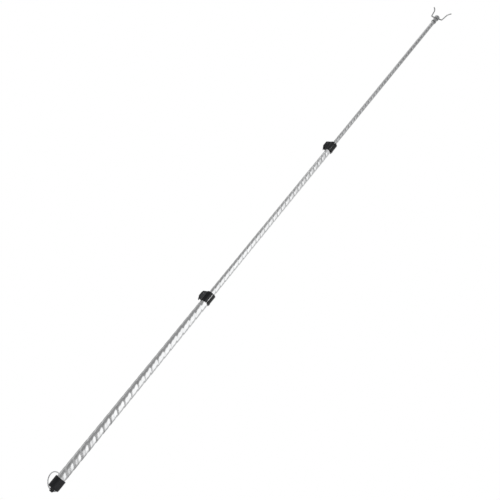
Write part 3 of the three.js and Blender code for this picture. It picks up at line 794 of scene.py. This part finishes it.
def build_fork_socket(low):
    """A steel socket over the end of the upper tube, with a stud on top that the head takes."""
    bore = UPPER["od"] / 2 + FIT
    outer = SOCKET_OD / 2
    shoulder = low + SOCKET_LENGTH
    roof = shoulder - SOCKET_TOP_WALL
    stud_top = shoulder + STUD_RISE
    profile = rounded([
        (0, roof, 0), (bore, roof, 0.2), (bore, low, 0.3), (outer, low, 0.4), (outer, shoulder, 1.0),
        (STUD_R, shoulder, 0.1), (STUD_R, stud_top, 0.4), (0, stud_top, 0)], 0.3, 5)
    piece(turned("socket", profile), "fork_socket_turned", "upper_section", STEEL_FORK, "fork_steel",
          "fork_socket")


def build_fork_head(bar_z):
    """A turned hub on the stud, with a cross hole for the wire and a hole on top for the screw."""
    low, high = z_range("fork_head")
    edge = HEAD_ACROSS / 2
    profile = rounded([(0, low, 0), (edge, low, 0.9), (edge, high - 1.0, 0.6),
                       (edge - HEAD_TOP_BEVEL, high, 0.8), (0, high, 0)], 0.4, 5)
    wire_hole = moved(rod(FORK_WIRE / 2 + FIT, -20, 20), turn_y=90, shift=(0, 0, bar_z), turn_z=FORK_TURN_DEG)
    head = combine("head", turned("head", profile), [
        ("DIFFERENCE", rod(STUD_R + FIT, low - 1, low + STUD_RISE + FIT)),
        ("DIFFERENCE", wire_hole),
        ("DIFFERENCE", rod(SCREW_D / 2 + FIT, bar_z, high + 1)),
    ])
    piece(head, "fork_head_turned", "upper_section", STEEL_FORK, "fork_steel", "fork_head", bevel=0.25)


def build_head_screw():
    low, high = z_range("head_screw")
    slot = block((-2, 2), (-GRUB_SLOT_WIDTH / 2, GRUB_SLOT_WIDTH / 2), (high - GRUB_SLOT_DEPTH, high + 1))
    grub = combine("grub", rod(SCREW_D / 2, low, high, 32), [("DIFFERENCE", slot)])
    piece(grub, "head_grub_screw", "upper_section", STEEL_PIN, "pin_steel", "head_screw", bevel=0.1)


def catmull_rom(points, steps):
    """A smooth line through the points, with its ends carried on straight."""
    p = [2 * np.array(points[0]) - np.array(points[1]), *map(np.array, points),
         2 * np.array(points[-1]) - np.array(points[-2])]
    out = []
    for i in range(1, len(p) - 2):
        for k in range(steps):
            t = k / steps
            out.append(0.5 * (2 * p[i] + (p[i + 1] - p[i - 1]) * t
                              + (2 * p[i - 1] - 5 * p[i] + 4 * p[i + 1] - p[i + 2]) * t ** 2
                              + (3 * p[i] - p[i - 1] - 3 * p[i + 1] + p[i + 2]) * t ** 3))
    out.append(p[-2])
    return out


def build_fork_wire(bar_z):
    """One wire: a straight bar through the head, a bend at each end, and two flaring arms."""
    reach = FORK_SPAN / 2
    straight = np.linspace(1.5, reach - FORK_BEND_R - 1.5, 12)
    half = [(x, bar_z) for x in straight]
    bend_steps = 10
    for k in range(bend_steps):
        t = k / bend_steps
        half.append((reach - FORK_BEND_R * (1 - t) ** 2, bar_z + FORK_BEND_R * t * t))
    arm = [(reach, bar_z + FORK_BEND_R)]
    arm += [(reach + FORK_FLARE * out, bar_z + FORK_RISE * up) for out, up in FORK_ARM]
    half += [tuple(point) for point in catmull_rom(arm, 12)]
    whole = [(-x, z) for x, z in reversed(half)] + half
    turn = math.radians(FORK_TURN_DEG)
    points = [(x * math.cos(turn), x * math.sin(turn), z) for x, z in whole]
    wire = sweep("wire", points, (-math.sin(turn), math.cos(turn), 0), FORK_WIRE / 2, 24)
    piece(wire, "fork_wire_bent", "upper_section", STEEL_FORK, "fork_steel", "fork_wire")


def dress_inner_nodes():
    """The bushes and shoes keep their CAD shape and take the moulded finish."""
    for prefix in CLAMPS:
        for part in ("guide_bush", "brake_shoe"):
            dress(prefix + "_" + part)
    for node in ("middle_tail_bush", "upper_tail_bush"):
        dress(node)


def dress(node):
    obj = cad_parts[node]
    obj.data.materials.clear()
    obj.data.materials.append(NYLON)


# ---- stage, light and camera ------------------------------------------------------------------
def build_floor():
    """A plain white floor a little below the pole, so that the ring can hang straight down. It's
    small, so that the tubes mirror the room more than the floor."""
    bpy.ops.mesh.primitive_circle_add(vertices=96, radius=FLOOR_RADIUS, fill_type="NGON",
                                      location=(0, 0, FLOOR_Z))
    floor = bpy.context.object
    floor.name = "floor"
    material = bpy.data.materials.new("floor_white")
    material.use_nodes = True
    tree = material.node_tree
    shader = tree.nodes["Principled BSDF"]
    shader.inputs["Base Color"].default_value = (0.8, 0.8, 0.8, 1)
    shader.inputs["Roughness"].default_value = 0.9
    glow = tree.nodes.new("ShaderNodeEmission")
    path = tree.nodes.new("ShaderNodeLightPath")
    mix = tree.nodes.new("ShaderNodeMixShader")
    link(tree, path.outputs["Is Camera Ray"], mix.inputs["Fac"])
    link(tree, shader.outputs["BSDF"], mix.inputs[1])
    link(tree, glow.outputs["Emission"], mix.inputs[2])
    link(tree, mix.outputs["Shader"], tree.nodes["Material Output"].inputs["Surface"])
    floor.data.materials.append(material)


def math_node(tree, operation, first, second):
    node = tree.nodes.new("ShaderNodeMath")
    node.operation = operation
    for socket, value in zip(node.inputs, (first, second)):
        if hasattr(value, "is_output"):
            link(tree, value, socket)
        else:
            socket.default_value = value
    return node.outputs["Value"]


def by_bearing(tree, turn, stops):
    """Brightness round the horizon, from stops of a bearing in degrees and a brightness."""
    return ramp(tree, turn, [((bearing + 180) / 360, brightness) for bearing, brightness in stops])


def build_world():
    """White to look at. What lights the pole is a grey room with a broad white panel low on its
    front right side and a soft one behind, a dimmer ceiling, and a dark table all round below."""
    world = bpy.data.worlds.new("studio")
    bpy.context.scene.world = world
    world.use_nodes = True
    tree = world.node_tree
    tree.nodes.clear()
    place = tree.nodes.new("ShaderNodeTexCoord")
    split = tree.nodes.new("ShaderNodeSeparateXYZ")
    link(tree, place.outputs["Generated"], split.inputs["Vector"])
    height = split.outputs["Z"]
    bearing = math_node(tree, "ARCTAN2", split.outputs["Y"], split.outputs["X"])
    rise = math_node(tree, "SUBTRACT", height, 0.2)
    slant = math_node(tree, "MULTIPLY", rise, PANEL_SLANT)
    leaned = math_node(tree, "SUBTRACT", bearing, slant)
    turn_leaned = spread(tree, leaned, 0.0, 1.0, -math.pi, math.pi)
    turn = spread(tree, bearing, 0.0, 1.0, -math.pi, math.pi)

    wall = 0.27
    sides = by_bearing(tree, turn_leaned, [
        (-180, wall), (-118, wall), (-98, 1.0), (-18, 1.0), (0, 0.45), (32, 0.45), (50, 0.85), (92, 0.8),
        (112, wall), (138, wall), (150, 0.5), (164, 0.5), (174, wall)])
    ceiling = by_bearing(tree, turn, [
        (-180, 0.75), (-158, 0.75), (-130, 0.22), (-40, 0.22), (0, 0.45), (60, 0.6), (150, 0.6)])
    table = by_bearing(tree, turn, [
        (-180, 0.35), (-165, 0.2), (-125, 0.2), (-100, 0.34), (-40, 0.34), (-5, 0.2), (60, 0.2),
        (85, 0.65), (110, 0.2), (150, 0.55)])
    above_table = spread(tree, height, 0.0, 1.0, -0.06, 0.04)
    near_ceiling = spread(tree, height, 0.0, 1.0, 0.36, 0.66)
    room = mix_colour(tree, near_ceiling, sides, ceiling)
    lit = tree.nodes.new("ShaderNodeBackground")
    link(tree, mix_colour(tree, above_table, table, room), lit.inputs["Color"])
    lit.inputs["Strength"].default_value = 1.25
    seen = tree.nodes.new("ShaderNodeBackground")
    seen.inputs["Color"].default_value = (1, 1, 1, 1)
    path = tree.nodes.new("ShaderNodeLightPath")
    mix = tree.nodes.new("ShaderNodeMixShader")
    link(tree, path.outputs["Is Camera Ray"], mix.inputs["Fac"])
    link(tree, lit.outputs["Background"], mix.inputs[1])
    link(tree, seen.outputs["Background"], mix.inputs[2])
    output = tree.nodes.new("ShaderNodeOutputWorld")
    link(tree, mix.outputs["Shader"], output.inputs["Surface"])


def build_camera():
    """A 50 mm lens 2.05 m off, on the butt's side of square to the pole, and rolled so that the
    pole's top leans to the right."""
    tilt = math.radians(20.9)
    roll = math.radians(39.145)
    aim_height = 0.8447
    distance = 2.05
    side_offset = 0.0057
    forward = Vector((0, math.cos(tilt), math.sin(tilt)))
    up_pole = Vector((0, -math.sin(tilt), math.cos(tilt)))
    right = Vector((1, 0, 0))
    up = math.cos(roll) * up_pole - math.sin(roll) * right
    across = math.sin(roll) * up_pole + math.cos(roll) * right
    camera = bpy.data.cameras.new("camera")
    camera.lens = 50
    camera.sensor_width = 36
    camera.clip_end = 50
    obj = bpy.data.objects.new("camera", camera)
    bpy.context.scene.collection.objects.link(obj)
    place = Vector((side_offset, 0, aim_height)) - forward * distance
    turn = Matrix((across, up, -forward)).transposed().to_4x4()
    obj.matrix_world = Matrix.Translation(place) @ turn
    bpy.context.scene.camera = obj


build_tubes()
build_butt_cap()
build_ring()
for clamp_name in CLAMPS:
    build_collar(clamp_name)
    build_lever(clamp_name)
    build_lever_pin(clamp_name)
    build_collar_screw(clamp_name)
build_fork()
dress_inner_nodes()
build_floor()
build_world()
build_camera()
bpy.context.scene.view_settings.view_transform = "Standard"
